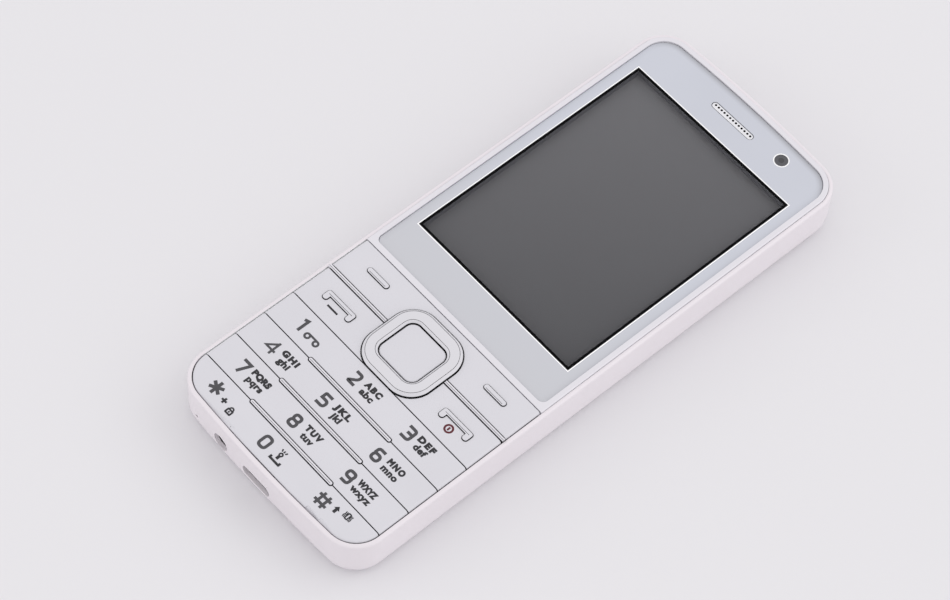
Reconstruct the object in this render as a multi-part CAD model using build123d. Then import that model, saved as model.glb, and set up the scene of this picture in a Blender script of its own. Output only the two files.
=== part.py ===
"""A white one-piece mobile phone with a display above number keys, built as separate pieces.

Millimetres. X runs across the phone, Y from the keys to the earpiece, Z up out of the display.
The origin is under the middle of the phone, on its back face.
"""

import math
import os

from build123d import *

# Overall size of the body
body_length = 133.7
body_width = 54.2
body_depth = 11.8
corner_radius = 7.4
end_bulge = 1.0

# Rear cover, a tub that wraps round the sides
cover_wall = 0.85
cover_floor = 1.0
cover_back_radius = 3.0
cover_rim_drop = 0.35
cover_rim_radius = 0.6

# Clearances
seam_gap = 0.08
lens_gap = 0.06
housing_gap = 0.25
key_gap = 0.2
ring_gap = 0.25
leg_gap = 0.4
seat_gap = 0.05
part_gap = 0.15
fit_gap = 0.02

# Heights of the front stack
lens_recess = 0.35
lens_thick = 0.9
tape_thick = 0.13
ledge_thick = 0.52
key_thick = 1.1
key_well = 1.1
tray_thick = 0.8
mat_thick = 0.25
nub_height = 0.1
dome_height = 0.17
dome_radius = 1.6
film_thick = 0.08
board_thick = 0.8
parts_height = 1.4
deck_thick = 0.8
backlight_thick = 0.75

# Front housing
skirt_wall = 1.12
rim_width = 1.22
rim_radius = 0.3
crossbar_width = 1.35
chamber_wall = 1.95
ledge_corner = 1.5
rib_width = 0.72
pill_length = 0.448 * body_width
pill_width = 0.72
pill_rise = 0.2
boss_radius = 1.7

# Keypad layout, measured down from the line under the display
keypad_length = 48.55
nav_length = 0.3975 * keypad_length
soft_length = 0.505 * nav_length
row_pitch = 0.2513 * (keypad_length - nav_length)
key_edge = 0.12
key_shoulder = 0.7
key_travel = 0.3
digit_spacing = 0.295 * body_width
soft_spacing = 0.323 * body_width
soft_mark_drop = 4.4
mark_length = 5.9
mark_width = 1.1
mark_rise = 0.2
mark_groove = 0.18
mark_groove_depth = 0.25
handset_length = 8.1
handset_height = 2.2
handset_drop = 14.6
handset_stroke = 0.95
handset_hook = 1.25
leg_size = 3.0

# Fine line along the front slope of each raised bar
line_width = 0.1
line_depth = 0.08
line_inset = 0.27

# Navigation ring and select key
ring_width = 17.4
ring_length = nav_length - 2.0
ring_corner = 5.6
ring_rise = 0.8
ring_thick = 1.7
ring_edge = 0.55
ring_lip = 0.45
select_width = 10.8
select_length = ring_length - 7.1
select_corner = 2.0
select_drop = 0.5
select_edge = 0.3
select_leg = 4.0
nav_plate_size = 15.0
nav_plate_thick = 0.4
nav_hole = 6.4
nav_plate_corner = 4.0
nav_spacing = 6.0

# Row carriers
carrier_thick = 0.5
carrier_width = 0.49 * row_pitch
carrier_overhang = 2.2
fulcrum_radius = 0.4

# Sheets under the keypad
sheet_margin = 3.5
sheet_corner = 3.0
sheet_end = 2.0

# Display
window_top_margin = 13.07
window_bottom_margin = 9.07
window_side_margin = 2.61
window_border = 1.0
panel_border = 2.4
panel_lower_border = 4.9
flex_width = 18.0
flex_thick = 0.12
flex_tail = 2.2

# Earpiece and front camera
earpiece_length = 11.6
earpiece_width = 1.4
earpiece_drop = 7.35
mesh_thick = 0.5
mesh_recess = 0.1
mesh_holes = 13
mesh_hole_radius = 0.26
mesh_hole_rise = 0.15
receiver_width = 15.0
receiver_length = 6.0
receiver_thick = 2.5
front_camera_x = 0.25 * body_width
front_camera_drop = 6.48
front_camera_size = 5.6
front_camera_barrel = 2.1

# Back of the phone
rear_camera_x = 0.148 * body_width
rear_camera_drop = 9.35
rear_camera_size = 8.5
rear_camera_barrel = 3.0
window_radius = 3.4
torch_x = 0.288 * body_width
torch_size = 2.6
torch_radius = 1.6
speaker_x = -0.166 * body_width
speaker_width = 0.277 * body_width
speaker_length = 11.0
speaker_slots = 5
speaker_slot_width = 1.0
speaker_slot_pitch = 2.2
speaker_slot_margin = 2.5
speaker_share = 0.73

# Bay for the battery and bay for the cards
bay_wall = 2.85
bay_bottom_margin = 18.35
bay_length = 0.4413 * body_length
bay_step = 6.0
card_bay_margin = 17.85
battery_corner = 1.5

# Board and its parts
board_inset = 3.0
board_top_margin = 11.25
shield_width = 0.7 * body_width
baseband_length = 0.4068 * bay_length
radio_length = 0.3051 * bay_length
shield_gap = 2.0
shield_height = 1.2
shield_wall = 0.2
sim_width = 0.3137 * body_width
sim_share = 0.8
card_width = 0.2583 * body_width
card_share = 0.46
holder_gap = 4.0
holder_wall = 0.25
contact_width = 9.0
contact_length = 3.0
contact_pitch = 2.5
contact_size = 0.8
contact_rise = 1.5
contact_gap = 1.0

# Sockets in the lower end
usb_x = -0.016 * body_width
usb_drop = 1.5
usb_width = 7.6
usb_height = 2.7
usb_length = 5.6
usb_wall = 0.3
usb_leg = 0.6
tongue_width = 4.6
tongue_thick = 0.6
jack_x = -0.2185 * body_width
jack_width = 6.0
jack_height = 4.4
jack_length = 12.0
jack_bore = 1.8
jack_bore_depth = 11.0
jack_opening = 2.05
jack_nose = 2.1
jack_nose_length = 1.15
jack_drop = 4.1
mic_x = -0.362 * body_width
mic_width = 4.0
mic_length = 3.0
mic_depth = 4.1
mic_hole = 0.4
mic_drop = 3.2
mic_half = 0.7
end_bay_half = 0.323 * body_width
end_bay_floor = 0.5
end_bay_step = 1.5
motor_radius = 4.0
motor_height = 2.6
motor_x = 0.2214 * body_width
motor_gap = 0.8
antenna_length = 11.0
antenna_width = 5.0
antenna_thick = 0.2
antenna_margin = 2.0
antenna_leg = 1.0

# Screws
screw_side_margin = 6.1
screw_top_margin = 9.35
screw_bottom_margin = 10.85
screw_radius = 0.8
screw_head_radius = 1.4
screw_head = 0.7

# Heights worked out from the stack, from the front down
lens_top = body_depth - lens_recess
lens_bottom = lens_top - lens_thick
ledge_top = lens_bottom - tape_thick
ledge_bottom = ledge_top - ledge_thick
key_bottom = body_depth - key_thick
tray_top = key_bottom - key_well
tray_bottom = tray_top - tray_thick
mat_bottom = tray_bottom - mat_thick
nub_bottom = mat_bottom - nub_height
film_top = nub_bottom - dome_height
board_top = film_top - film_thick
split_z = board_top - board_thick
deck_top = split_z - parts_height
deck_bottom = deck_top - deck_thick
back_z = cover_floor + housing_gap
speaker_thick = speaker_share * (deck_bottom - back_z)
cover_top = body_depth - cover_rim_drop
port_z = split_z - usb_drop - usb_height / 2
jack_z = tray_bottom - jack_drop
leg_bottom = tray_bottom + key_travel + seat_gap
ring_top = body_depth + ring_rise
ring_bottom = ring_top - ring_thick
select_top = ring_top - select_drop
select_bottom = ring_bottom + ring_gap
nav_plate_bottom = tray_top + fulcrum_radius + seat_gap
nav_plate_top = nav_plate_bottom + nav_plate_thick
ring_fulcrum = ring_bottom - nav_plate_top - seat_gap
carrier_top = key_bottom - key_travel - fulcrum_radius
carrier_bottom = carrier_top - carrier_thick

# Insets from the body's outline
rim_inset = cover_wall + seam_gap
key_inset = cover_wall + key_gap
housing_inset = cover_wall + housing_gap
lens_inset = rim_inset + rim_width
skirt_inset = rim_inset + skirt_wall

# Positions along the phone
top_y = body_length / 2
keypad_bottom = -top_y + key_inset
keypad_top = keypad_bottom + keypad_length
rib_y = keypad_top - soft_length
first_line = keypad_top - nav_length
row_lines = [first_line - n * row_pitch for n in range(4)] + [keypad_bottom]
row_centres = [(row_lines[n] + row_lines[n + 1]) / 2 for n in range(4)]
nav_y = first_line + key_gap / 2 + ring_length / 2
soft_leg_y = (keypad_top + rib_y) / 2
call_leg_y = (rib_y + first_line) / 2
lens_low_y = keypad_top + crossbar_width
window_low = lens_low_y + window_bottom_margin
window_high = top_y - window_top_margin
window_half = body_width / 2 - lens_inset - window_side_margin
panel_low = window_low + window_border - panel_lower_border
panel_high = window_high - window_border + panel_border
panel_half = window_half - window_border + panel_border
chamber_low = lens_low_y + chamber_wall
earpiece_y = top_y - earpiece_drop
front_camera_y = top_y - front_camera_drop
board_high = top_y - board_top_margin
bay_half = body_width / 2 - housing_inset - bay_wall
bay_low = -top_y + bay_bottom_margin
bay_high = bay_low + bay_length
card_bay_low = bay_high + bay_step
card_bay_high = top_y - card_bay_margin
card_bay_y = (card_bay_low + card_bay_high) / 2
sim_length = sim_share * (card_bay_high - card_bay_low)
card_length = card_share * (card_bay_high - card_bay_low)
sim_x = -(sim_width + holder_gap) / 2
card_x = (card_width + holder_gap) / 2
end_bay_high = bay_low - end_bay_step
port_y = -top_y + skirt_inset + 3 * part_gap
mic_y = port_y + mic_depth
mic_z = split_z - mic_drop
rear_camera_y = top_y - rear_camera_drop
screw_x = body_width / 2 - screw_side_margin
screw_places = [
    (-screw_x, top_y - screw_top_margin),
    (screw_x, top_y - screw_top_margin),
    (-screw_x, -top_y + screw_bottom_margin),
    (screw_x, -top_y + screw_bottom_margin),
]

# Places of the snap domes: rows, soft keys, call and end keys, ring and select key
dome_places = [(n * digit_spacing, y) for y in row_centres for n in (-1, 0, 1)]
dome_places += [(side * soft_spacing, soft_leg_y) for side in (-1, 1)]
dome_places += [(side * soft_spacing, call_leg_y) for side in (-1, 1)]
nav_places = [(nav_spacing, nav_y), (-nav_spacing, nav_y)]
nav_places += [(0, nav_y + nav_spacing), (0, nav_y - nav_spacing)]
dome_places += nav_places + [(0, nav_y)]


# Helpers
def outline(inset):
    """Plan of the body, drawn inwards by the inset: straight sides, round corners, bowed ends."""
    end_radius = ((body_width / 2) ** 2 + end_bulge**2) / (2 * end_bulge)
    corner_x = body_width / 2 - corner_radius
    end_y = top_y - end_radius
    reach = end_radius - corner_radius
    corner_y = end_y + math.sqrt(reach**2 - corner_x**2)
    turn = math.atan2(corner_y - end_y, corner_x)
    side_x = body_width / 2 - inset
    small = corner_radius - inset
    big = end_radius - inset
    join_x = big * math.cos(turn)
    join_y = end_y + big * math.sin(turn)
    mid_x = corner_x + small * math.cos(turn / 2)
    mid_y = corner_y + small * math.sin(turn / 2)
    edges = [
        Line((side_x, -corner_y), (side_x, corner_y)),
        ThreePointArc((side_x, corner_y), (mid_x, mid_y), (join_x, join_y)),
        ThreePointArc((join_x, join_y), (0, top_y - inset), (-join_x, join_y)),
        ThreePointArc((-join_x, join_y), (-mid_x, mid_y), (-side_x, corner_y)),
        Line((-side_x, corner_y), (-side_x, -corner_y)),
        ThreePointArc((-side_x, -corner_y), (-mid_x, -mid_y), (-join_x, -join_y)),
        ThreePointArc((-join_x, -join_y), (0, inset - top_y), (join_x, -join_y)),
        ThreePointArc((join_x, -join_y), (mid_x, -mid_y), (side_x, -corner_y)),
    ]
    return make_face(edges)


def band(low, high):
    """A strip across the whole phone between two places along Y."""
    return Pos(0, (low + high) / 2) * Rectangle(2 * body_width, high - low)


def slab(face, low, high):
    """A plan drawn out between two heights."""
    return Pos(0, 0, low) * extrude(face, amount=high - low)


def block(x, y, width, length, low, high):
    """A box given by its middle in plan and its two heights."""
    return Pos(x, y, (low + high) / 2) * Box(width, length, high - low)


def plate(x, y, width, length, corner, low, high):
    """A box with round corners in plan."""
    return slab(Pos(x, y) * RectangleRounded(width, length, corner), low, high)


def post(place, radius, low, high):
    """An upright cylinder."""
    return Pos(place[0], place[1], (low + high) / 2) * Cylinder(radius, high - low)


def bar_y(x, z, radius, low, high):
    """A cylinder along Y."""
    return Pos(x, (low + high) / 2, z) * Rot(90, 0, 0) * Cylinder(radius, high - low)


def bar_x(y, z, radius, low, high):
    """A cylinder along X."""
    return Pos((low + high) / 2, y, z) * Rot(0, 90, 0) * Cylinder(radius, high - low)


def soften_top(part, radius):
    """Round the outer edge of the highest face."""
    top = part.faces().sort_by(Axis.Z)[-1]
    return fillet(top.outer_wire().edges(), radius)


def soften_bottom(part, radius):
    """Round the outer edge of the lowest face."""
    low = part.faces().sort_by(Axis.Z)[0]
    return fillet(low.outer_wire().edges(), radius)


def pill_plan(line, extra):
    """Plan of the raised pill between two rows, grown all round by an extra."""
    return Pos(0, line) * SlotOverall(pill_length + 2 * extra, pill_width + 2 * extra)


def ring_plan(extra):
    """Plan of the navigation ring's outer edge, grown all round by an extra."""
    width = ring_width + 2 * extra
    length = ring_length + 2 * extra
    return Pos(0, nav_y) * RectangleRounded(width, length, ring_corner + extra)


def rib_plan(side, extra):
    """Plan of the rib between a soft key and the key below it."""
    inner = ring_width / 2 + ring_gap
    width = body_width / 2 - inner + extra
    return Pos(side * (inner - extra + width / 2), rib_y) * Rectangle(width, rib_width + 2 * extra)


def fine_line(x, front, length, top):
    """A fine groove along a raised bar, set in from the bar's front edge."""
    line = Pos(x, front + line_inset) * Rectangle(length, line_width)
    return slab(line, top - line_depth, top + 1)


def write(shape, name):
    export_step(shape, "parts/" + name + ".step")


# The pieces
def rear_cover():
    shell = slab(outline(0), 0, cover_top)
    shell = soften_bottom(shell, cover_back_radius)
    shell = soften_top(shell, cover_rim_radius)
    cavity = slab(outline(cover_wall), cover_floor, body_depth)
    cavity = soften_bottom(cavity, cover_back_radius - cover_wall)
    shell -= cavity
    wall_y = -top_y + cover_wall
    slot = Pos(usb_x, port_z) * RectangleRounded(usb_width + 0.4, usb_height + 0.1, 1.2)
    shell -= Pos(0, wall_y + 1, 0) * (Rot(90, 0, 0) * extrude(slot, amount=4))
    shell -= bar_y(jack_x, jack_z, jack_opening, -top_y - 1, wall_y + 1)
    shell -= bar_y(mic_x, mic_z, mic_hole, -top_y - 1, wall_y + 1)
    shell -= post((rear_camera_x, rear_camera_y), window_radius + fit_gap, -1, cover_floor + 1)
    shell -= post((torch_x, rear_camera_y), torch_radius + fit_gap, -1, cover_floor + 1)
    for n in range(speaker_slots):
        y = rear_camera_y + (n - (speaker_slots - 1) / 2) * speaker_slot_pitch
        slit = Pos(speaker_x, y) * SlotOverall(speaker_width - 2 * speaker_slot_margin, speaker_slot_width)
        shell -= slab(slit, -1, cover_floor + 1)
    return shell


def rear_camera_window():
    return post((rear_camera_x, rear_camera_y), window_radius, 0.1, cover_floor - 0.1)


def torch_lens():
    return post((torch_x, rear_camera_y), torch_radius, 0.1, cover_floor - 0.1)


def lens_plan(extra):
    """Plan of the display lens, grown all round by an extra."""
    plan = outline(lens_inset - extra) & band(lens_low_y - extra, top_y)
    low_corners = plan.vertices().sort_by(Axis.Y)[:2]
    return fillet(low_corners, ledge_corner)


def window_plan(extra):
    """Plan of the clear window of the display, grown all round by an extra."""
    length = window_high - window_low
    middle = (window_high + window_low) / 2
    return Pos(0, middle) * Rectangle(2 * (window_half + extra), length + 2 * extra)


def earpiece_plan(extra):
    """Plan of the earpiece slot, grown all round by an extra."""
    length = earpiece_length + 2 * extra
    return Pos(0, earpiece_y) * SlotOverall(length, earpiece_width + 2 * extra)


def front_housing():
    shell = slab(outline(rim_inset), split_z, body_depth)
    shell = soften_top(shell, rim_radius)
    shell -= slab(outline(skirt_inset), split_z, board_top + seat_gap)
    shell -= slab(outline(0) & band(-top_y, keypad_top), tray_top, body_depth + 1)
    shell -= slab(outline(skirt_inset) & band(-top_y, keypad_top), split_z, tray_bottom)
    shell -= slab(outline(skirt_inset) & band(chamber_low, top_y), split_z, ledge_bottom)
    shell -= slab(outline(0) & band(-top_y, end_bay_high + part_gap), split_z, tray_bottom)
    shell -= slab(lens_plan(lens_gap), ledge_top, body_depth + 1)
    shell -= slab(window_plan(0.3), split_z, body_depth)
    shell -= slab(earpiece_plan(0.2), split_z, body_depth)
    camera_place = (front_camera_x, front_camera_y)
    shell -= post(camera_place, front_camera_barrel + part_gap, split_z, body_depth)
    for side in (-1, 1):
        rib = slab(outline(rim_inset) & rib_plan(side, 0), tray_bottom, body_depth + pill_rise)
        rib_front = rib_y - rib_width / 2
        shell += soften_top(rib, 0.15) - fine_line(0, rib_front, 2 * body_width, body_depth + pill_rise)
        for y in (soft_leg_y, call_leg_y):
            hole = leg_size + 2 * leg_gap
            shell -= block(side * soft_spacing, y, hole, hole, split_z, tray_top + 0.5)
    for line in row_lines[1:4]:
        pill = slab(pill_plan(line, 0), tray_bottom, body_depth + pill_rise)
        pill_front = line - pill_width / 2
        pill_line = fine_line(0, pill_front, pill_length - pill_width, body_depth + pill_rise)
        shell += soften_top(pill, 0.2) - pill_line
    for y in row_centres:
        width = 2 * (digit_spacing + carrier_overhang + leg_gap)
        shell -= block(0, y, width, carrier_width + 2 * leg_gap, split_z, tray_top + 0.5)
    for place in nav_places:
        shell -= post(place, 1.0 + leg_gap, split_z, tray_top + 0.5)
    hole = select_leg + 2 * leg_gap
    shell -= block(0, nav_y, hole, hole, split_z, tray_top + 0.5)
    for x, y in screw_places:
        high = tray_bottom if y < 0 else ledge_bottom
        shell += post((x, y), boss_radius, split_z, high)
        shell -= post((x, y), screw_radius + fit_gap, split_z - 1, board_top + 0.6)
    return shell


def display_lens():
    lens = slab(lens_plan(0), lens_bottom, lens_top)
    lens = soften_top(lens, 0.15)
    return lens - slab(earpiece_plan(part_gap), lens_bottom - 1, lens_top + 1)


def lens_tape():
    tape = slab(lens_plan(-0.3), ledge_top, lens_bottom)
    tape -= slab(window_plan(0.5), 0, body_depth)
    tape -= slab(earpiece_plan(0.4), 0, body_depth)
    return tape - post((front_camera_x, front_camera_y), front_camera_barrel + 0.3, 0, body_depth)


def receiver_mesh():
    mesh_top = lens_top - mesh_recess
    mesh = slab(earpiece_plan(0), mesh_top - mesh_thick, mesh_top)
    pitch = (earpiece_length - earpiece_width) / (mesh_holes - 1)
    for n in range(mesh_holes):
        x = (n - (mesh_holes - 1) / 2) * pitch
        mesh -= post((x, earpiece_y + mesh_hole_rise), mesh_hole_radius, 0, body_depth)
    return mesh


def receiver():
    low = ledge_bottom - 0.3 - receiver_thick
    return plate(0, earpiece_y, receiver_width, receiver_length, 1.0, low, ledge_bottom - 0.3)


def receiver_gasket():
    ring = Pos(0, earpiece_y) * RectangleRounded(receiver_width - 0.4, receiver_length - 1, 1.0)
    ring -= earpiece_plan(0.4)
    return slab(ring, ledge_bottom - 0.3, ledge_bottom)


def front_camera():
    top = ledge_bottom - seat_gap
    size = front_camera_size
    body = plate(front_camera_x, front_camera_y, size, size, 0.5, split_z + seat_gap, top)
    place = (front_camera_x, front_camera_y)
    return body + post(place, front_camera_barrel, top, lens_bottom - part_gap)


def backlight():
    low = board_top + seat_gap
    middle = (panel_low + panel_high) / 2
    return block(0, middle, 2 * panel_half, panel_high - panel_low, low, low + backlight_thick)


def lcd_panel():
    low = board_top + seat_gap + backlight_thick
    middle = (panel_low + panel_high) / 2
    width = 2 * (panel_half - 0.5)
    return block(0, middle, width, panel_high - panel_low, low, ledge_bottom - seat_gap)


def lcd_flex():
    tail_y = panel_low - seat_gap - flex_tail / 2
    tail = block(0, tail_y, flex_width, flex_tail, board_top, board_top + flex_thick)
    riser_y = panel_low - seat_gap - flex_thick / 2
    riser_top = ledge_bottom - 0.3
    return tail + block(0, riser_y, flex_width, flex_thick, board_top, riser_top)


def key_from(plan):
    """A key cap: its plan cut from a sheet whose outer edge is rounded like the body."""
    sheet = slab(outline(key_inset), key_bottom, body_depth)
    sheet = soften_top(sheet, key_shoulder)
    cap = sheet & slab(plan, key_bottom, body_depth)
    top = cap.faces().sort_by(Axis.Z)[-1]
    sharp = [e for e in top.outer_wire().edges() if abs(e.center().X) < body_width / 2 - key_inset - 0.1]
    sharp = [e for e in sharp if e.center().Y > keypad_bottom + key_shoulder + 0.3]
    return fillet(sharp, key_edge)


def soft_mark_plan(x, extra):
    """Plan of the raised bar on a soft key, grown all round by an extra."""
    return Pos(x, keypad_top - soft_mark_drop) * SlotOverall(mark_length + 2 * extra, mark_width + 2 * extra)


def softkey_bar():
    low = rib_y + rib_width / 2 + key_gap
    plan = band(low, keypad_top - key_gap) - ring_plan(ring_gap)
    bar = key_from(plan)
    for side in (-1, 1):
        groove = soft_mark_plan(side * soft_spacing, mark_groove)
        bar -= slab(groove, body_depth - mark_groove_depth, body_depth + 1)
        mark = slab(soft_mark_plan(side * soft_spacing, 0), key_bottom, body_depth + mark_rise)
        mark_front = keypad_top - soft_mark_drop - mark_width / 2
        bar += mark - fine_line(side * soft_spacing, mark_front, mark_length - mark_width, body_depth + mark_rise)
        bar += block(side * soft_spacing, soft_leg_y, leg_size, leg_size, leg_bottom, key_bottom)
    bridge_low = nav_y + ring_length / 2 + ring_gap
    bridge_high = keypad_top - key_gap
    middle = (bridge_low + bridge_high) / 2
    axis_z = tray_top + seat_gap + fulcrum_radius
    length = bridge_high - bridge_low - 0.4
    bar += block(0, middle, 2 * fulcrum_radius, length, axis_z, key_bottom)
    return bar + bar_y(0, axis_z, fulcrum_radius, middle - length / 2, middle + length / 2)


def handset_plan(x, extra):
    """Plan of a plain handset, a bar with a hook at each end, grown all round by an extra."""
    y = keypad_top - handset_drop
    bar_place = y + (handset_height - handset_stroke) / 2
    plan = Pos(x, bar_place) * SlotOverall(handset_length + 2 * extra, handset_stroke + 2 * extra)
    hook_radius = 0.45 * handset_hook + extra
    hook = RectangleRounded(handset_hook + 2 * extra, handset_height + 2 * extra, hook_radius)
    reach = (handset_length - handset_hook) / 2
    plan += Pos(x - reach, y) * hook
    return plan + Pos(x + reach, y) * hook


def side_key(side):
    """The call key or the end key."""
    high = rib_y - rib_width / 2 - key_gap
    plan = band(first_line + key_gap / 2, high) - ring_plan(ring_gap)
    plan &= Pos(side * body_width / 2, 0) * Rectangle(body_width - key_gap, 2 * body_length)
    key = key_from(plan)
    groove = handset_plan(side * soft_spacing, mark_groove)
    key -= slab(groove, body_depth - mark_groove_depth, body_depth + 1)
    mark = slab(handset_plan(side * soft_spacing, 0), key_bottom, body_depth + mark_rise)
    mark_front = keypad_top - handset_drop + handset_height / 2 - handset_stroke
    line_length = handset_length - handset_hook
    key += mark - fine_line(side * soft_spacing, mark_front, line_length, body_depth + mark_rise)
    return key + block(side * soft_spacing, call_leg_y, leg_size, leg_size, leg_bottom, key_bottom)


def opening_plan(extra):
    """Plan of the select key, grown all round by an extra."""
    width = select_width + 2 * extra
    return Pos(0, nav_y) * RectangleRounded(width, select_length + 2 * extra, select_corner + extra)


def navigation_ring():
    opening = opening_plan(ring_gap)
    ring = slab(ring_plan(0), ring_bottom, ring_top)
    ring = chamfer(ring.faces().sort_by(Axis.Z)[-1].edges(), ring_edge)
    ring -= slab(opening, ring_bottom - 1, ring_top + 1)
    top = ring.faces().sort_by(Axis.Z)[-1]
    ring = chamfer(top.inner_wires()[0].edges(), ring_lip)
    outer_line = ring_plan(-ring_edge) - ring_plan(-ring_edge - line_width)
    inner_line = opening_plan(ring_gap + ring_lip + line_width) - opening_plan(ring_gap + ring_lip)
    ring -= slab(outer_line + inner_line, ring_top - line_depth, ring_top + 1)
    for side in (-1, 1):
        middle = side * (ring_width + select_width) / 4
        ring += bar_x(nav_y, ring_bottom, ring_fulcrum, middle - 0.8, middle + 0.8)
    return ring


def navigation_carrier():
    size = nav_plate_size
    carrier = plate(0, nav_y, size, size, nav_plate_corner, nav_plate_bottom, nav_plate_top)
    carrier -= block(0, nav_y, nav_hole, nav_hole, 0, 2 * body_depth)
    for place in nav_places:
        carrier += post(place, 0.9, leg_bottom, nav_plate_bottom)
    for side in (-1, 1):
        middle = nav_y + side * (nav_hole / 2 + 0.8)
        carrier += bar_y(0, nav_plate_bottom, fulcrum_radius, middle - 0.6, middle + 0.6)
    return carrier


def select_key():
    key = plate(0, nav_y, select_width, select_length, select_corner, select_bottom, select_top)
    key = soften_top(key, select_edge)
    return key + block(0, nav_y, select_leg, select_leg, leg_bottom, select_bottom)


def key_row(n):
    """A number row: one strip with three legs, the middle one rounded to rock on."""
    plan = band(row_lines[n + 1] + key_gap / 2, row_lines[n] - key_gap / 2)
    for line in row_lines[1:4]:
        plan -= pill_plan(line, key_gap)
    strip = key_from(plan)
    y = row_centres[n]
    axis_z = carrier_top + seat_gap + fulcrum_radius
    half = carrier_width / 2 - 0.3
    strip += block(0, y, 2 * fulcrum_radius, 2 * half, axis_z, key_bottom)
    strip += bar_y(0, axis_z, fulcrum_radius, y - half, y + half)
    for side in (-1, 1):
        strip += block(side * digit_spacing, y, 2.0, 2 * half, carrier_top + 0.35, key_bottom)
    return strip


def row_carrier(n):
    """The bar that a number row rocks on and presses down."""
    width = 2 * (digit_spacing + carrier_overhang)
    y = row_centres[n]
    carrier = plate(0, y, width, carrier_width, 0.8, carrier_bottom, carrier_top)
    for side in (-1, 0, 1):
        carrier += post((side * digit_spacing, y), 1.0, leg_bottom, carrier_bottom)
    return carrier


def jack_notch(extra):
    """Plan of the room left round the audio jack."""
    high = port_y + jack_length + part_gap + extra
    width = jack_width + 2 * part_gap + 2 * extra
    return Pos(jack_x, (high - top_y) / 2) * Rectangle(width, high + top_y)


def boss_notches(extra):
    """Plan of the room left round the screw bosses."""
    plan = Sketch()
    for x, y in screw_places:
        plan += Pos(x, y) * Circle(boss_radius + extra)
    return plan


def keypad_plan(extra):
    """Plan of the sheets under the keypad."""
    half = soft_spacing + sheet_margin + extra
    low = row_centres[3] - sheet_end - extra
    high = keypad_top - 1.0 + extra
    plan = Pos(0, (low + high) / 2) * RectangleRounded(2 * half, high - low, sheet_corner)
    return plan - boss_notches(0.3) - jack_notch(0)


def keypad_mat():
    mat = slab(keypad_plan(0), mat_bottom, tray_bottom)
    for place in dome_places:
        mat += post(place, 1.0, nub_bottom, mat_bottom)
    return mat


def dome_sheet():
    return slab(keypad_plan(-0.4), board_top, film_top)


def metal_domes():
    domes = []
    for x, y in dome_places:
        domes.append(Pos(x, y, film_top + dome_height / 2) * Cone(dome_radius, dome_radius / 2, dome_height))
    return Compound(children=domes)


def main_board():
    plan = outline(board_inset) & band(-top_y, board_high)
    plan -= boss_notches(0.7)
    plan -= jack_notch(0)
    return slab(plan, split_z, board_top)


def shield(y, length):
    """A sheet metal can under the board."""
    can = block(0, y, shield_width, length, split_z - shield_height, split_z)
    width = shield_width - 2 * shield_wall
    low = split_z - shield_height + shield_wall
    return can - block(0, y, width, length - 2 * shield_wall, low, split_z + 1)


def holder(x, width, length):
    """A card holder under the board, open at its lower end."""
    low = split_z - parts_height + part_gap
    frame = block(x, card_bay_y, width, length, low, split_z)
    inner = width - 2 * holder_wall
    room = split_z - holder_wall
    return frame - block(x, card_bay_y - 1, inner, length, low + holder_wall, room)


def battery_connector():
    y = bay_high + contact_gap + contact_length / 2
    low = back_z + contact_rise
    size = contact_size
    body = block(0, y, contact_width, contact_length, low, split_z)
    spring_y = y - contact_length / 2 - size / 2
    for n in (-1, 0, 1):
        body += block(n * contact_pitch, spring_y, size, size, low + size / 2, low + 2 * size)
    return body


def usb_connector():
    middle = port_y + usb_length / 2
    low = port_z - usb_height / 2
    high = port_z + usb_height / 2
    body = block(usb_x, middle, usb_width, usb_length, low, high)
    width = usb_width - 2 * usb_wall
    mouth = block(usb_x, middle - usb_wall, width, usb_length, low + usb_wall, high - usb_wall)
    tongue_y = middle + usb_wall
    tongue_length = usb_length - 2 * usb_wall
    tongue_low = port_z + tongue_thick / 4
    tongue = block(usb_x, tongue_y, tongue_width, tongue_length, tongue_low, tongue_low + tongue_thick)
    body = body - mouth + tongue
    for side in (-1, 1):
        leg_x = usb_x + side * (usb_width - usb_leg) / 2
        for leg_y in (middle - usb_length / 4, middle + usb_length / 4):
            body += block(leg_x, leg_y, usb_leg, 2 * usb_leg, high - usb_wall, split_z)
    return body


def audio_jack():
    middle = port_y + jack_length / 2
    low = jack_z - jack_height / 2
    body = block(jack_x, middle, jack_width, jack_length, low, low + jack_height)
    tip = port_y - jack_nose_length
    body += bar_y(jack_x, jack_z, jack_nose, tip, port_y)
    return body - bar_y(jack_x, jack_z, jack_bore, tip, port_y + jack_bore_depth)


def microphone():
    return block(mic_x, mic_y, mic_width, mic_length, mic_z - mic_half, split_z)


def microphone_boot():
    high = mic_y - mic_length / 2
    middle = (port_y + 0.4 + high) / 2
    boot = block(mic_x, middle, mic_width, high - port_y - 0.4, mic_z - mic_half, split_z - 0.1)
    return boot - bar_y(mic_x, mic_z, mic_hole, port_y, high)


def loudspeaker():
    top = deck_bottom
    return plate(speaker_x, rear_camera_y, speaker_width, speaker_length, 1.5, top - speaker_thick, top)


def speaker_gasket():
    high = deck_bottom - speaker_thick
    ring = RectangleRounded(speaker_width, speaker_length, 1.5)
    ring -= RectangleRounded(speaker_width - 2.4, speaker_length - 1.0, 1.0)
    return slab(Pos(speaker_x, rear_camera_y) * ring, back_z, high)


def vibration_motor():
    motor_y = end_bay_high - motor_radius - motor_gap
    return post((motor_x, motor_y), motor_radius, split_z - motor_height, split_z)


def antenna():
    low = back_z + end_bay_floor
    x = end_bay_half - antenna_length / 2 - antenna_margin
    y = -top_y + skirt_inset + antenna_width / 2 + antenna_margin
    foil = block(x, y, antenna_length, antenna_width, low, low + antenna_thick)
    leg_x = x + antenna_length / 2 - antenna_leg
    return foil + block(leg_x, y, antenna_leg, 2 * antenna_leg, low, split_z)


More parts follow.
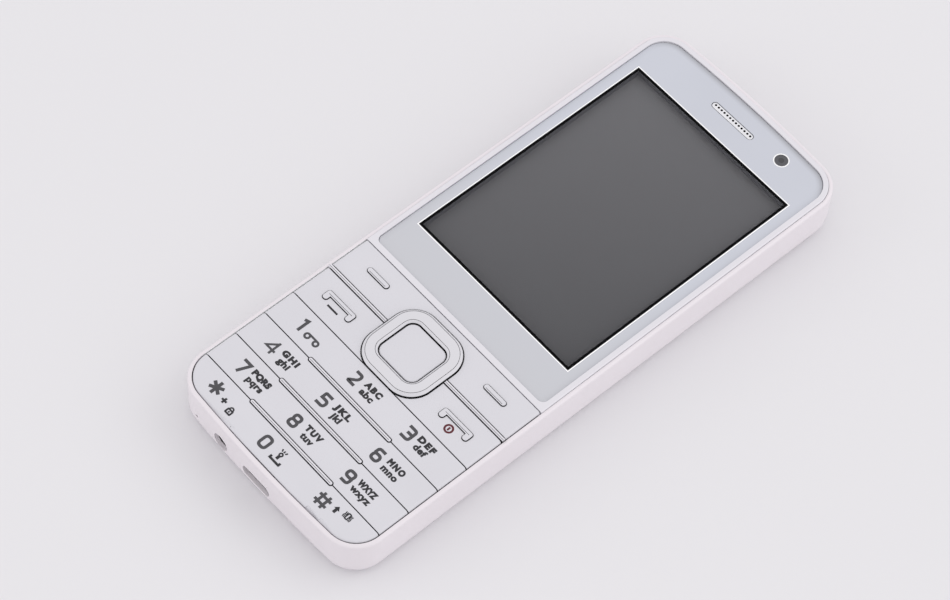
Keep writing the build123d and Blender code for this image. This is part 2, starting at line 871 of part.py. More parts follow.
def rear_camera():
    size = rear_camera_size
    low = back_z + 0.8
    body = plate(rear_camera_x, rear_camera_y, size, size, 0.6, low, split_z - 0.4)
    return body + post((rear_camera_x, rear_camera_y), rear_camera_barrel, back_z, low)


def torch_lamp():
    return block(torch_x, rear_camera_y, torch_size, torch_size, back_z + 0.5, deck_bottom)


def battery():
    middle = (bay_low + bay_high) / 2
    width = 2 * bay_half - 2 * housing_gap
    length = bay_length - 2 * housing_gap
    return plate(0, middle, width, length, battery_corner, back_z, deck_bottom - housing_gap)


def rear_housing():
    body = slab(outline(housing_inset), back_z, split_z)
    body = soften_bottom(body, cover_back_radius - cover_wall)
    end_wall = (outline(housing_inset) - outline(skirt_inset)) & band(-top_y, end_bay_high)
    body += slab(end_wall, split_z, tray_bottom - seat_gap)
    middle = (bay_low + bay_high) / 2
    body -= block(0, middle, 2 * bay_half, bay_length, 0, deck_bottom)
    body -= block(0, card_bay_y, 2 * bay_half, card_bay_high - card_bay_low, 0, deck_bottom)
    room = outline(board_inset + 1.0) - boss_notches(0.5)
    body -= slab(room, deck_top, split_z + 1)
    end_bay = outline(skirt_inset) & band(-top_y, end_bay_high)
    end_bay &= Rectangle(2 * end_bay_half, 2 * body_length)
    body -= slab(end_bay, back_z + end_bay_floor, split_z + 1)
    spare = 4 * housing_gap
    body -= block(sim_x, card_bay_y, sim_width + spare, sim_length + spare, 0, split_z)
    body -= block(card_x, card_bay_y, card_width + spare, card_length + spare, 0, split_z)
    contact_y = bay_high + (contact_gap + contact_length) / 2
    room_length = contact_gap + contact_length + 4 * part_gap
    body -= block(0, contact_y, contact_width + 4 * part_gap, room_length, 0, split_z)
    pocket = RectangleRounded(speaker_width + 0.4, speaker_length + 0.4, 1.7)
    body -= slab(Pos(speaker_x, rear_camera_y) * pocket, 0, deck_bottom)
    hole = rear_camera_size + 2 * part_gap
    body -= block(rear_camera_x, rear_camera_y, hole, hole, 0, split_z)
    hole = torch_size + 2 * part_gap
    body -= block(torch_x, rear_camera_y, hole, hole, 0, deck_bottom)
    for place in screw_places:
        body -= post(place, screw_radius + part_gap, 0, split_z + 1)
        body -= post(place, screw_head_radius + part_gap, 0, deck_bottom)
    wall_y = -top_y + skirt_inset + 1
    slot = Pos(usb_x, port_z) * RectangleRounded(usb_width + 0.8, usb_height + 0.6, 1.0)
    body -= Pos(0, wall_y, 0) * (Rot(90, 0, 0) * extrude(slot, amount=4))
    body -= bar_y(jack_x, jack_z, jack_nose + part_gap, -top_y, wall_y)
    body -= bar_y(mic_x, mic_z, mic_hole + 0.2, -top_y, port_y + 2)
    notch_low = port_y + part_gap
    notch_high = mic_y + mic_length / 2 + part_gap
    notch_y = (notch_low + notch_high) / 2
    notch_width = mic_width + 2 * part_gap
    notch_bottom = mic_z - mic_half - seat_gap
    body -= block(mic_x, notch_y, notch_width, notch_high - notch_low, notch_bottom, split_z)
    return body


def housing_screws():
    screws = []
    for place in screw_places:
        shank = post(place, screw_radius, deck_bottom, board_top + 0.4)
        head = post(place, screw_head_radius, deck_bottom - screw_head, deck_bottom)
        slot = block(place[0], place[1], 1.6, 0.35, 0, deck_bottom - screw_head + 0.35)
        screws.append(shank + head - slot)
    return Compound(children=screws)


os.makedirs("parts", exist_ok=True)
write(rear_cover(), "rear_cover")
write(rear_camera_window(), "rear_camera_window")
write(torch_lens(), "torch_lens")
write(front_housing(), "front_housing")
write(display_lens(), "display_lens")
write(lens_tape(), "lens_tape")
write(receiver_mesh(), "receiver_mesh")
write(receiver(), "receiver")
write(receiver_gasket(), "receiver_gasket")
write(front_camera(), "front_camera")
write(backlight(), "backlight")
write(lcd_panel(), "lcd_panel")
write(lcd_flex(), "lcd_flex")
write(softkey_bar(), "softkey_bar")
write(side_key(-1), "call_key")
write(side_key(1), "end_key")
write(navigation_ring(), "navigation_ring")
write(navigation_carrier(), "navigation_carrier")
write(select_key(), "select_key")
for row in range(4):
    write(key_row(row), "key_row_" + str(row + 1))
    write(row_carrier(row), "row_carrier_" + str(row + 1))
write(keypad_mat(), "keypad_mat")
write(dome_sheet(), "dome_sheet")
write(metal_domes(), "metal_domes")
write(main_board(), "main_board")
baseband_y = bay_high - shield_gap - baseband_length / 2
radio_y = baseband_y - baseband_length / 2 - shield_gap - radio_length / 2
write(shield(baseband_y, baseband_length), "baseband_shield")
write(shield(radio_y, radio_length), "radio_shield")
write(holder(sim_x, sim_width, sim_length), "sim_holder")
write(holder(card_x, card_width, card_length), "memory_card_holder")
write(battery_connector(), "battery_connector")
write(usb_connector(), "usb_connector")
write(audio_jack(), "audio_jack")
write(microphone(), "microphone")
write(microphone_boot(), "microphone_boot")
write(loudspeaker(), "loudspeaker")
write(speaker_gasket(), "speaker_gasket")
write(vibration_motor(), "vibration_motor")
write(antenna(), "antenna")
write(rear_camera(), "rear_camera")
write(torch_lamp(), "torch_lamp")
write(battery(), "battery")
write(rear_housing(), "rear_housing")
write(housing_screws(), "housing_screws")
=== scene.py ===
import math

import bpy
from mathutils import Matrix, Vector
from mathutils.geometry import tessellate_polygon


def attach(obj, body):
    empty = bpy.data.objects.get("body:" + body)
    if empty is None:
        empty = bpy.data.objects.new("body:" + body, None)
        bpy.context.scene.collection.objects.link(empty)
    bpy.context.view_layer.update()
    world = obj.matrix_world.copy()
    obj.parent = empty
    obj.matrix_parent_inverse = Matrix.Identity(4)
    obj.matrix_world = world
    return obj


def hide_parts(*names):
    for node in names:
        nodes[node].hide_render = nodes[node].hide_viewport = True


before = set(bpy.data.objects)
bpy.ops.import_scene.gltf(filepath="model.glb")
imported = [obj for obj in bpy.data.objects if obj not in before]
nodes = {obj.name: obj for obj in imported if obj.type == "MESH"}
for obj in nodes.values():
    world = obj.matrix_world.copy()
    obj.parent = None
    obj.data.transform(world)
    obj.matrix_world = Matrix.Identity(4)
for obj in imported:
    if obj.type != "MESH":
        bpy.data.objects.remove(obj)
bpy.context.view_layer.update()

MM = 0.001

# Sizes repeated from the part, in millimetres
body_width = 54.2
top_y = 66.85
body_depth = 11.8
corner_radius = 7.4
end_bulge = 1.0
lens_inset = 2.15
lens_low_y = -15.9
lens_low_corner = 1.5
lens_bottom = 10.55
lens_top = 11.45
lens_edge = 0.15
window_half = 22.34
window_low = -6.83
window_high = 53.78
panel_top = 9.85
earpiece_y = 59.5
earpiece_length = 11.9
earpiece_width = 1.7
front_camera = (13.55, 60.37)
row_lines = (-39.98, -47.73, -55.03, -62.45)
soft_spacing = 17.507
bar_top = body_depth + 0.2
ring_top = body_depth + 0.8
line_depth = 0.08
groove_depth = 0.25
ink_z = body_depth + 0.003
ink_step = 0.002


# Mesh helpers
def piece(name, shape, material, body):
    """A mesh from points in millimetres and their faces, with its material, riding on a body."""
    verts, faces = shape
    mesh = bpy.data.meshes.new(name)
    mesh.from_pydata([(x * MM, y * MM, z * MM) for x, y, z in verts], [], faces)
    mesh.validate()
    obj = bpy.data.objects.new(name, mesh)
    bpy.context.scene.collection.objects.link(obj)
    mesh.materials.append(material)
    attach(obj, body)
    return obj


def area_of(loop):
    """The area inside a loop, positive if the loop runs anticlockwise."""
    return 0.5 * sum(a[0] * b[1] - b[0] * a[1] for a, b in zip(loop, loop[1:] + loop[:1]))


def turned(loop, left):
    """The loop running anticlockwise if left, else clockwise."""
    return loop if (area_of(loop) > 0) == left else loop[::-1]


def prism(outer, holes, low, high, rounding=None):
    """A closed solid from a plan with holes. rounding is a list of (plan, height) under the top plan."""
    verts, faces = [], []
    outer = turned(outer, True)
    holes = [turned(h, False) for h in holes]

    def ring(loop, z):
        start = len(verts)
        verts.extend((x, y, z) for x, y in loop)
        return list(range(start, start + len(loop)))

    def wall(a, b):
        n = len(a)
        faces.extend((a[i], a[(i + 1) % n], b[(i + 1) % n], b[i]) for i in range(n))

    steps = [(outer, low)] + [(turned(p, True), z) for p, z in (rounding or [(outer, high)])]
    rings = [ring(p, z) for p, z in steps]
    for a, b in zip(rings, rings[1:]):
        wall(a, b)
    hole_low = [ring(h, low) for h in holes]
    hole_high = [ring(h, high) for h in holes]
    for a, b in zip(hole_low, hole_high):
        wall(a, b)
    for first, rest, up in ((rings[-1], hole_high, True), (rings[0], hole_low, False)):
        index = first + [i for h in rest for i in h]
        loops = [[Vector((verts[i][0], verts[i][1], 0)) for i in first]]
        loops += [[Vector((verts[i][0], verts[i][1], 0)) for i in h] for h in rest]
        for tri in tessellate_polygon(loops):
            a, b, c = (index[i] for i in tri)
            pa, pb, pc = (verts[i] for i in (a, b, c))
            side = (pb[0] - pa[0]) * (pc[1] - pa[1]) - (pc[0] - pa[0]) * (pb[1] - pa[1])
            faces.append((a, b, c) if (side > 0) == up else (a, c, b))
    return verts, faces


def joined(parts):
    """Several shapes as one list of points and one list of faces."""
    verts, faces = [], []
    for v, f in parts:
        start = len(verts)
        verts.extend(v)
        faces.extend(tuple(i + start for i in face) for face in f)
    return verts, faces


def arc(cx, cy, radius, start, end, count):
    """Points along an arc between two angles in degrees."""
    angles = [math.radians(start + (end - start) * i / count) for i in range(count + 1)]
    return [(cx + radius * math.cos(t), cy + radius * math.sin(t)) for t in angles]


def circle(cx, cy, radius, count=48):
    """Points round a circle."""
    return arc(cx, cy, radius, 0, 360 - 360 / count, count - 1)


def slot_plan(cx, cy, length, width, count=12):
    """Plan of a slot with round ends."""
    reach = (length - width) / 2
    return arc(cx + reach, cy, width / 2, -90, 90, count) + arc(cx - reach, cy, width / 2, 90, 270, count)


def rounded_box(cx, cy, width, length, radius, count=8):
    """Plan of a box with round corners."""
    x, y = width / 2 - radius, length / 2 - radius
    loop = []
    for sx, sy, start in ((1, 1, 0), (-1, 1, 90), (-1, -1, 180), (1, -1, 270)):
        loop += arc(cx + sx * x, cy + sy * y, radius, start, start + 90, count)
    return loop


def lens_plan(inset):
    """Plan of the display lens, drawn inwards from the lens edge."""
    end_radius = ((body_width / 2) ** 2 + end_bulge ** 2) / (2 * end_bulge)
    corner_x = body_width / 2 - corner_radius
    end_y = top_y - end_radius
    corner_y = end_y + math.sqrt((end_radius - corner_radius) ** 2 - corner_x ** 2)
    turn = math.degrees(math.atan2(corner_y - end_y, corner_x))
    away = lens_inset + inset
    side_x = body_width / 2 - away
    low = lens_low_y + inset
    small = lens_low_corner - inset
    loop = arc(corner_x, corner_y, corner_radius - away, 0, turn, 16)
    loop += arc(0, end_y, end_radius - away, turn, 180 - turn, 24)[1:-1]
    loop += arc(-corner_x, corner_y, corner_radius - away, 180 - turn, 180, 16)
    loop += arc(-side_x + small, low + small, small, 180, 270, 8)
    loop += arc(side_x - small, low + small, small, 270, 360, 8)
    return loop


def window_plan(inset):
    """Plan of the display window, drawn inwards by an inset."""
    half, low, high = window_half - inset, window_low + inset, window_high - inset
    return [(-half, low), (half, low), (half, high), (-half, high)]


# Stroke legends
shortest_bend = 0.02
bend_share = 0.48
bend_steps = 5
mitre_limit = 0.35


def rounded_path(points, radius, closed):
    """The path with each corner replaced by a short curve."""
    out = []
    n = len(points)
    for i, p in enumerate(points):
        if not closed and i in (0, n - 1):
            out.append(p)
            continue
        a, b = Vector(points[i - 1]) - Vector(p), Vector(points[(i + 1) % n]) - Vector(p)
        reach = min(radius, bend_share * a.length, bend_share * b.length)
        if reach < shortest_bend:
            out.append(p)
            continue
        start, end = Vector(p) + a.normalized() * reach, Vector(p) + b.normalized() * reach
        for k in range(bend_steps + 1):
            t = k / bend_steps
            q = start * (1 - t) ** 2 + Vector(p) * 2 * t * (1 - t) + end * t ** 2
            out.append((q.x, q.y))
    return out


def stroke(points, width, z, radius=0.0, closed=False, thick=0.02):
    """A flat line of ink along a path: a closed solid just proud of the key."""
    path = [Vector(p) for p in rounded_path(points, radius, closed)]
    n = len(path)
    left, right = [], []
    for i, p in enumerate(path):
        before = path[i - 1] if i or closed else None
        after = path[(i + 1) % n] if i < n - 1 or closed else None
        d1 = (p - before).normalized() if before is not None else (after - p).normalized()
        d2 = (after - p).normalized() if after is not None else d1
        n1, n2 = Vector((-d1.y, d1.x)), Vector((-d2.y, d2.x))
        mitre = n1 + n2
        mitre = mitre / max(mitre_limit, mitre.length_squared / 2)
        left.append(p + mitre * width / 2)
        right.append(p - mitre * width / 2)
    verts = [(q.x, q.y, height) for height in (z, z + thick) for q in left + right]
    faces = []
    m = 2 * n
    for i in range(n if closed else n - 1):
        j = (i + 1) % n
        faces.append((m + i, m + n + i, m + n + j, m + j))
        faces.append((i, j, n + j, n + i))
        faces.append((i, m + i, m + j, j))
        faces.append((n + i, n + j, m + n + j, m + n + i))
    if not closed:
        faces.append((0, n, m + n, m))
        faces.append((n - 1, m + n - 1, m + 2 * n - 1, 2 * n - 1))
    return verts, faces


digit_width = 2.42
digit_height = 3.3
digit_stroke = 0.66
slim_stroke = 0.5
soft_bend = 0.75
mid_bend = 0.6
firm_bend = 0.25


def digit(sign, x, y):
    """One number in a plain square stroke letter, its left edge at x and its middle at y."""
    half = digit_stroke / 2
    a, b = x + half, x + digit_width - half
    low, high = y - digit_height / 2 + half, y + digit_height / 2 - half
    left, foot = a - half, low - half
    waist, bar = y + 0.03, low + 0.7
    upper, lower = waist + 0.12, waist - 0.12
    stem = a + 0.72
    paths = {
        "0": [([(a, low), (b, low), (b, high), (a, high)], soft_bend, True)],
        "1": [([(a - 0.15, high - 0.3), (stem, high), (stem, foot)], 0, False)],
        "2": [([(a, high), (b, high), (b, waist + 0.1), (a, low), (b + half, low)], mid_bend, False)],
        "3": [([(left, high), (b, high), (b, waist), (b, low), (left, low)], soft_bend, False),
              ([(a + 0.3, waist), (b, waist)], 0, False)],
        "4": [([(b + 0.75, bar), (a - 0.05, bar), (b, high)], 0, False),
              ([(b, high + half), (b, foot)], 0, False)],
        "5": [([(b + 0.1, high), (a, high), (a, upper - half)], firm_bend, False),
              ([(a, upper), (b, upper), (b, low), (left, low)], soft_bend, False)],
        "6": [([(b, high), (a, high), (a, waist)], soft_bend, False),
              ([(a, low), (b, low), (b, upper), (a, upper)], soft_bend, True)],
        "7": [([(left, high), (b, high), (a + 0.5, foot)], 0, False)],
        "8": [([(a + 0.08, waist), (b - 0.08, waist), (b - 0.08, high), (a + 0.08, high)], soft_bend, True),
              ([(a, low), (b, low), (b, waist), (a, waist)], soft_bend, True)],
        "9": [([(a, low), (b, low), (b, waist)], soft_bend, False),
              ([(a, high), (b, high), (b, lower), (a, lower)], soft_bend, True)],
    }
    width = slim_stroke if sign == "4" else digit_stroke
    return [stroke(points, width, ink_z + ink_step * k, bend, closed)
            for k, (points, bend, closed) in enumerate(paths[sign])]


def star(x, y, reach=1.62, width=0.72):
    """A star of three bars, each a step higher than the one before, so that no two tops meet."""
    parts = []
    for k, turn in enumerate((90, 150, 210)):
        dx, dy = reach * math.cos(math.radians(turn)), reach * math.sin(math.radians(turn))
        parts.append(stroke([(x - dx, y - dy), (x + dx, y + dy)], width, ink_z + ink_step * k))
    return parts


def hash_sign(x, y, reach=1.58, apart=0.72, width=0.6):
    """Two upright bars and two level ones."""
    parts = []
    for k, side in enumerate((-apart, apart)):
        upright = [(x + side, y - reach), (x + side, y + reach)]
        level = [(x - reach, y + side), (x + reach, y + side)]
        parts.append(stroke(upright, width, ink_z + ink_step * k))
        parts.append(stroke(level, width, ink_z + ink_step * (k + 2)))
    return parts


font_cap = 0.73
letter_thick = 0.01


def letters(text, x, y, cap, width, spread=1.08, bold=0.055):
    """Small letters from the built-in font, as wide as given, with the middle at x and the foot at y."""
    curve = bpy.data.curves.new("letters", "FONT")
    curve.body = text
    curve.size = 1.0
    curve.space_character = spread
    curve.resolution_u = 3
    curve.bevel_depth = bold
    curve.bevel_resolution = 1
    holder = bpy.data.objects.new("letters", curve)
    mesh = bpy.data.meshes.new_from_object(holder)
    points = [v.co for v in mesh.vertices]
    start, end = min(p.x for p in points), max(p.x for p in points)
    middle = (start + end) / 2
    tall, wide, flat = cap / font_cap, width / (end - start), letter_thick / bold
    middle_z = ink_z + letter_thick
    verts = [(x + (p.x - middle) * wide, y + p.y * tall, middle_z + p.z * flat) for p in points]
    faces = [tuple(poly.vertices) for poly in mesh.polygons]
    bpy.data.objects.remove(holder)
    bpy.data.curves.remove(curve)
    bpy.data.meshes.remove(mesh)
    return [(verts, faces)]


def ring_stroke(x, y, radius, width, z):
    """A full ring of ink."""
    return stroke(circle(x, y, radius, 32), width, z, closed=True)


# Materials
def colour(text):
    """A screen colour such as c8ccd4 as linear red, green and blue."""
    out = []
    for i in (0, 2, 4):
        v = int(text[i:i + 2], 16) / 255
        out.append(v / 12.92 if v <= 0.04045 else ((v + 0.055) / 1.055) ** 2.4)
    return out


def surface(name, tone, rough=0.4, drift=0.03, patch=70, grain=2600, relief=0.05, spread=0.06, metal=0.0,
            coat=0.0, coat_rough=0.08, specular=0.5):
    """A moulded surface: fine relief, slow colour drift and uneven gloss, all made from noise."""
    mat = bpy.data.materials.new(name)
    mat.use_nodes = True
    tree = mat.node_tree
    bsdf = tree.nodes["Principled BSDF"]
    base = colour(tone) if isinstance(tone, str) else list(tone)
    bsdf.inputs["Metallic"].default_value = metal
    bsdf.inputs["Specular IOR Level"].default_value = specular
    bsdf.inputs["Coat Weight"].default_value = coat
    bsdf.inputs["Coat Roughness"].default_value = coat_rough
    place = tree.nodes.new("ShaderNodeTexCoord")
    slow = tree.nodes.new("ShaderNodeTexNoise")
    slow.inputs["Scale"].default_value = patch
    slow.inputs["Detail"].default_value = 4
    fine = tree.nodes.new("ShaderNodeTexNoise")
    fine.inputs["Scale"].default_value = grain
    fine.inputs["Detail"].default_value = 3
    tree.links.new(place.outputs["Object"], slow.inputs["Vector"])
    tree.links.new(place.outputs["Object"], fine.inputs["Vector"])
    ramp = tree.nodes.new("ShaderNodeValToRGB")
    ramp.color_ramp.elements[0].position = 0.3
    ramp.color_ramp.elements[1].position = 0.7
    ramp.color_ramp.elements[0].color = [c * (1 - drift) for c in base] + [1]
    ramp.color_ramp.elements[1].color = [min(1, c * (1 + drift)) for c in base] + [1]
    tree.links.new(slow.outputs["Fac"], ramp.inputs["Fac"])
    tree.links.new(ramp.outputs["Color"], bsdf.inputs["Base Color"])
    span = tree.nodes.new("ShaderNodeMapRange")
    span.inputs["From Min"].default_value = 0.3
    span.inputs["From Max"].default_value = 0.7
    span.inputs["To Min"].default_value = max(0, rough - spread)
    span.inputs["To Max"].default_value = min(1, rough + spread)
    tree.links.new(fine.outputs["Fac"], span.inputs["Value"])
    tree.links.new(span.outputs["Result"], bsdf.inputs["Roughness"])
    bump = tree.nodes.new("ShaderNodeBump")
    bump.inputs["Strength"].default_value = relief
    bump.inputs["Distance"].default_value = 0.00005
    tree.links.new(fine.outputs["Fac"], bump.inputs["Height"])
    tree.links.new(bump.outputs["Normal"], bsdf.inputs["Normal"])
    return mat


def tinted(mat, factor, tone):
    """The material with its colour turning to another tone where the factor is 1."""
    tree = mat.node_tree
    base = tree.nodes["Principled BSDF"].inputs["Base Color"]
    mix = tree.nodes.new("ShaderNodeMix")
    mix.data_type = "RGBA"
    tree.links.new(factor, mix.inputs[0])
    tree.links.new(base.links[0].from_socket, mix.inputs[6])
    mix.inputs[7].default_value = colour(tone) + [1]
    tree.links.new(mix.outputs[2], base)
    return mat


def spread_over(mat, value, start, end, low=0.0, high=1.0):
    """A factor that runs from low to high while the value runs from start to end."""
    span = mat.node_tree.nodes.new("ShaderNodeMapRange")
    span.inputs["From Min"].default_value = start
    span.inputs["From Max"].default_value = end
    span.inputs["To Min"].default_value = low
    span.inputs["To Max"].default_value = high
    mat.node_tree.links.new(value, span.inputs["Value"])
    return span.outputs["Result"]


def product(mat, factors):
    """The product of some factors."""
    result = factors[0]
    for factor in factors[1:]:
        times = mat.node_tree.nodes.new("ShaderNodeMath")
        times.operation = "MULTIPLY"
        mat.node_tree.links.new(result, times.inputs[0])
        mat.node_tree.links.new(factor, times.inputs[1])
        result = times.outputs[0]
    return result


def axis_of(mat, kind, output, axis):
    """One part, X, Y or Z, of what a new node of some kind gives."""
    tree = mat.node_tree
    split = tree.nodes.new("ShaderNodeSeparateXYZ")
    tree.links.new(tree.nodes.new(kind).outputs[output], split.inputs["Vector"])
    return split.outputs[axis]


def place_on(mat, axis):
    """The place along one axis of the frame, in metres."""
    return axis_of(mat, "ShaderNodeTexCoord", "Object", axis)


def slope_of(mat):
    """How far a face looks up: 1 if it is level, 0 if it is upright."""
    return axis_of(mat, "ShaderNodeNewGeometry", "True Normal", "Z")


everywhere = 1000
lower_end = (-65.0 * MM, -64.0 * MM)
left_side = (-25.8 * MM, -25.2 * MM)
seam_inside = (-25.8 * MM, -25.95 * MM)
seam_outside = (-26.6 * MM, -26.4 * MM)
seam_low_end = (-59.5 * MM, -58.5 * MM)
seam_high_end = (-16.5 * MM, -17.5 * MM)
seam_depth = (9.8 * MM, 10.4 * MM)
painted_lift_tone = "fafafc"
floor_play = 0.015


def painted_wall_shade(mat, tone, level=0.45, below=everywhere):
    """Upright faces take a darker tone, a painted shade for the shade that falls in the gaps between the
    keys, up to a place along the phone.
    The tone is weak at the lower end and at the left side, where the photo's lines are faint."""
    along = place_on(mat, "Y")
    factors = [spread_over(mat, slope_of(mat), level, 0.1),
               spread_over(mat, along, (below + 0.1) * MM, below * MM),
               spread_over(mat, along, *lower_end, low=0.3),
               spread_over(mat, place_on(mat, "X"), *left_side, low=0.05)]
    return tinted(mat, product(mat, factors), tone)


def painted_light_in_seam(mat):
    """Upright faces in the seam along the left side take a lighter tone: that seam is faint in the photo."""
    # Painted light: the lighter tone lifts the shade that falls in this seam.
    across, along = place_on(mat, "X"), place_on(mat, "Y")
    factors = [spread_over(mat, slope_of(mat), 0.9, 0.6),
               spread_over(mat, across, *seam_inside),
               spread_over(mat, across, *seam_outside),
               spread_over(mat, along, *seam_low_end),
               spread_over(mat, along, *seam_high_end),
               spread_over(mat, place_on(mat, "Z"), *seam_depth)]
    return tinted(mat, product(mat, factors), painted_lift_tone)


def painted_groove_shade(mat, tone, height):
    """Level faces at one height take a painted shade, the darker tone that the floor of a fine groove has in
    its shade.
    """
    level = spread_over(mat, slope_of(mat), 0.9, 0.95)
    here = mat.node_tree.nodes.new("ShaderNodeMath")
    here.operation = "COMPARE"
    mat.node_tree.links.new(place_on(mat, "Z"), here.inputs[0])
    here.inputs[1].default_value = height * MM
    here.inputs[2].default_value = floor_play * MM
    return tinted(mat, product(mat, [level, here.outputs[0]]), tone)


def fading(mat, direction, start, end, tone):
    """The colour turns to another tone along a direction, between two places in millimetres."""
    tree = mat.node_tree
    place = tree.nodes.new("ShaderNodeTexCoord")
    along = tree.nodes.new("ShaderNodeVectorMath")
    along.operation = "DOT_PRODUCT"
    tree.links.new(place.outputs["Object"], along.inputs[0])
    along.inputs[1].default_value = direction
    return tinted(mat, spread_over(mat, along.outputs["Value"], start * MM, end * MM), tone)


def shaded(mat, attribute, tone):
    """The colour turns to another tone by a value kept on the mesh."""
    kept = mat.node_tree.nodes.new("ShaderNodeAttribute")
    kept.attribute_name = attribute
    return tinted(mat, kept.outputs["Fac"], tone)


def glass(name, tint, rough=0.03):
    """Clear moulded glass or acrylic with faint smears in its gloss."""
    mat = surface(name, tint, rough=rough, drift=0.01, patch=40, grain=120, relief=0.0002, spread=0.004)
    bsdf = mat.node_tree.nodes["Principled BSDF"]
    bsdf.inputs["Transmission Weight"].default_value = 1.0
    bsdf.inputs["IOR"].default_value = 1.45
    return mat


def film(name, tint, share):
    """A smoked glossy film that covers a share of what lies under it."""
    mat = surface(name, tint, rough=0.04, drift=0.05, patch=40, grain=120, relief=0.001, spread=0.01)
    mat.node_tree.nodes["Principled BSDF"].inputs["Alpha"].default_value = share
    return mat


moulded = dict(drift=0.012, relief=0.05, coat=0.2)
shell_white = surface("shell_white", "e6e0e5", rough=0.36, coat_rough=0.25, **moulded)
rim_white = surface("rim_white", "dfdde3", rough=0.34, coat_rough=0.2, **moulded)
ring_white = surface("ring_white", "d8d7dc", rough=0.36, coat_rough=0.25, **moulded)
key_finish = dict(rough=0.42, drift=0.014, relief=0.07, coat=0.1, coat_rough=0.3)
key_white = surface("key_white", "d6d5db", **key_finish)
soft_white = surface("soft_white", "d6d5db", **key_finish)
print_white = surface("print_white", "c6c9d3", rough=0.2, drift=0.014, patch=45, relief=0.02, coat=0.6,
                      coat_rough=0.05)
line_white = surface("line_white", "fdfdfe", rough=0.3, drift=0.01, relief=0.02)
# Painted shade: the darker tones below stand for the shade in the gaps between parts and on groove floors;
# the seam tone is painted light.
line_floor_shade, groove_floor_shade = "6c6c70", "5a5a5e"
rim_dark_below, soft_dark_below = -20, -18
painted_wall_shade(rim_white, "4c4c50", below=rim_dark_below)
painted_groove_shade(rim_white, line_floor_shade, bar_top - line_depth)
for mat in (shell_white, key_white, soft_white):
    painted_light_in_seam(mat)
for mat, below in ((key_white, everywhere), (soft_white, soft_dark_below)):
    painted_wall_shade(mat, "3a3a3e", below=below)
    painted_groove_shade(mat, line_floor_shade, bar_top - line_depth)
    painted_groove_shade(mat, groove_floor_shade, body_depth - groove_depth)
painted_wall_shade(ring_white, "1c1c1f")
painted_groove_shade(ring_white, groove_floor_shade, ring_top - line_depth)
# Painted reflection: the border's print turns greyer towards the low end as the cool reflection in its gloss
# fades.
fading(print_white, (0, 1, 0), 30, -15, "c5c6cc")
# Painted shadow of the rim on the border, kept on the mesh as rim_shade.
shaded(print_white, "rim_shade", "a2a3a9")
ink = dict(rough=0.5, drift=0.06, patch=900, relief=0.1)
ink_grey = surface("ink_grey", "464549", **ink)
ink_dark = surface("ink_dark", "222126", **ink)
ink_red = surface("ink_red", "5a1420", **ink)
mask_black = surface("mask_black", "060608", rough=0.5, drift=0.1, relief=0.02, specular=0.05)
panel = dict(rough=0.5, patch=25, spread=0.02)
panel_dark = surface("panel_dark", "5c5c61", drift=0.03, relief=0.004, **panel)
wall_grey = surface("wall_grey", "7a7a80", drift=0.03, relief=0.004, specular=0.1, **panel)
panel_grey = surface("panel_grey", "747478", drift=0.02, relief=0.002, specular=0.1, **panel)
# Painted reflection: the display turns lighter towards its top left, where the room's reflection lies on it.
fading(panel_grey, (-1, 1, 0), -30, 65, "939397")
pane_clear = film("pane_clear", "0a0a0c", 0.17)
camera_finish = dict(rough=0.12, patch=400, relief=0.01, coat=0.6, coat_rough=0.02)
camera_glass = surface("camera_glass", "47474c", drift=0.04, **camera_finish)
camera_dark = surface("camera_dark", "2e2e32", drift=0.06, **camera_finish)
# The receiver mesh's hole walls take a painted shade.
mesh_white = painted_wall_shade(surface("mesh_white", "e6e6ea", rough=0.4, drift=0.03, relief=0.06), "1c1c1e", 0.6)
black_plastic = surface("black_plastic", "1b1b1d", rough=0.5, drift=0.12, relief=0.12)
black_rubber = surface("black_rubber", "161617", rough=0.75, drift=0.12, relief=0.2)
silicone_grey = surface("silicone_grey", "6a6a6e", rough=0.65, drift=0.05, relief=0.12)
white_plastic = surface("white_plastic", "dedee0", rough=0.45, drift=0.02, relief=0.08)
steel = surface("steel", (0.62, 0.62, 0.63), rough=0.34, drift=0.05, patch=300, grain=1500, relief=0.05,
                metal=1.0)
board_green = surface("board_green", "1f4a33", rough=0.42, drift=0.14, patch=260, grain=1200, relief=0.12)
flex_amber = surface("flex_amber", "b07a2c", rough=0.4, drift=0.1, relief=0.06)
brass = surface("brass", (0.72, 0.53, 0.24), rough=0.32, drift=0.06, patch=300, relief=0.05, metal=1.0)
dark_glass = surface("dark_glass", "0d0d10", rough=0.08, drift=0.15, relief=0.01, coat=1.0, coat_rough=0.02)
battery_wrap = surface("battery_wrap", "3b3c40", rough=0.45, drift=0.06, patch=50, relief=0.08)
torch_clear = glass("torch_clear", "f4f2e4", rough=0.12)

finish = {
    "rear_cover": shell_white, "rear_camera_window": dark_glass, "torch_lens": torch_clear,
    "front_housing": rim_white, "rear_housing": white_plastic, "display_lens": print_white,
    "lens_tape": black_rubber, "receiver_mesh": mesh_white, "receiver": black_plastic,
    "receiver_gasket": black_rubber, "front_camera": black_plastic, "backlight": white_plastic,
    "lcd_panel": panel_dark, "lcd_flex": flex_amber, "softkey_bar": soft_white, "call_key": key_white,
    "end_key": key_white, "navigation_ring": ring_white, "navigation_carrier": white_plastic,
    "select_key": key_white, "keypad_mat": silicone_grey, "dome_sheet": white_plastic, "metal_domes": steel,
    "main_board": board_green, "baseband_shield": steel, "radio_shield": steel, "sim_holder": steel,
    "memory_card_holder": steel, "battery_connector": black_plastic, "usb_connector": steel,
    "audio_jack": white_plastic, "microphone": steel, "microphone_boot": black_rubber,
    "loudspeaker": black_plastic, "speaker_gasket": black_rubber, "vibration_motor": steel, "antenna": brass,
    "rear_camera": black_plastic, "torch_lamp": white_plastic, "battery": battery_wrap,
    "housing_screws": steel,
}
